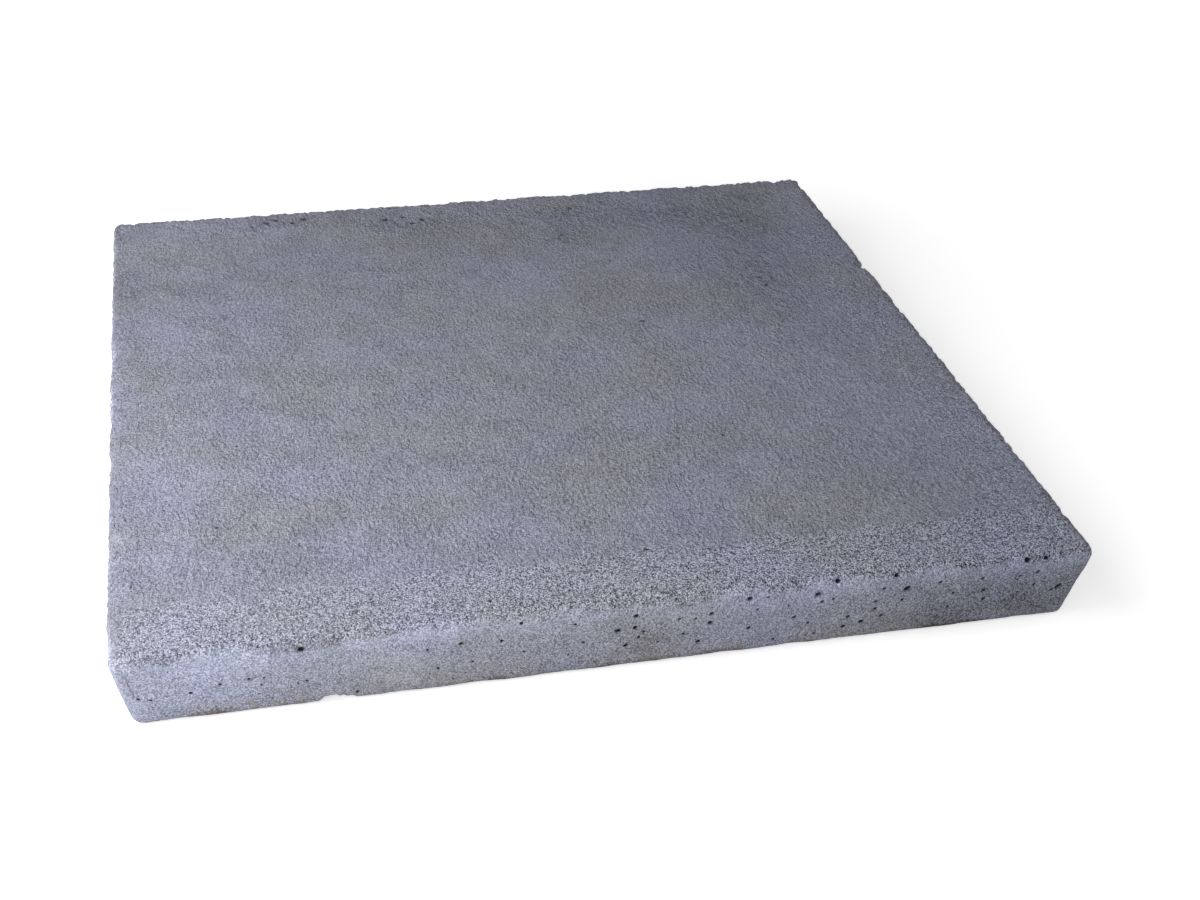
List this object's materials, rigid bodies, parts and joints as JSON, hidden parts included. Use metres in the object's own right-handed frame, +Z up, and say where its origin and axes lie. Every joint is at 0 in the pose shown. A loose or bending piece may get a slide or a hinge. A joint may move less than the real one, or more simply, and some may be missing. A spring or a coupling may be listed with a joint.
{
  "type": "concrete equipment pad",
  "caption": "Square cast concrete slab with drafted sides, rounded edges and a rough top, laid level on the ground to carry an outdoor unit.",
  "frame": {"origin": "centre of the underside, on the ground that the pad lies on", "axes": "+Z up out of the top face, X and Y along the sides of the square, -Y out of the front face in the picture"},
  "size_m": [0.8128, 0.8128, 0.0762],
  "materials": {
    "concrete": "matte"
  },
  "bodies": {
    "root": {"concrete_pad": "concrete"}
  },
  "joints": []
}
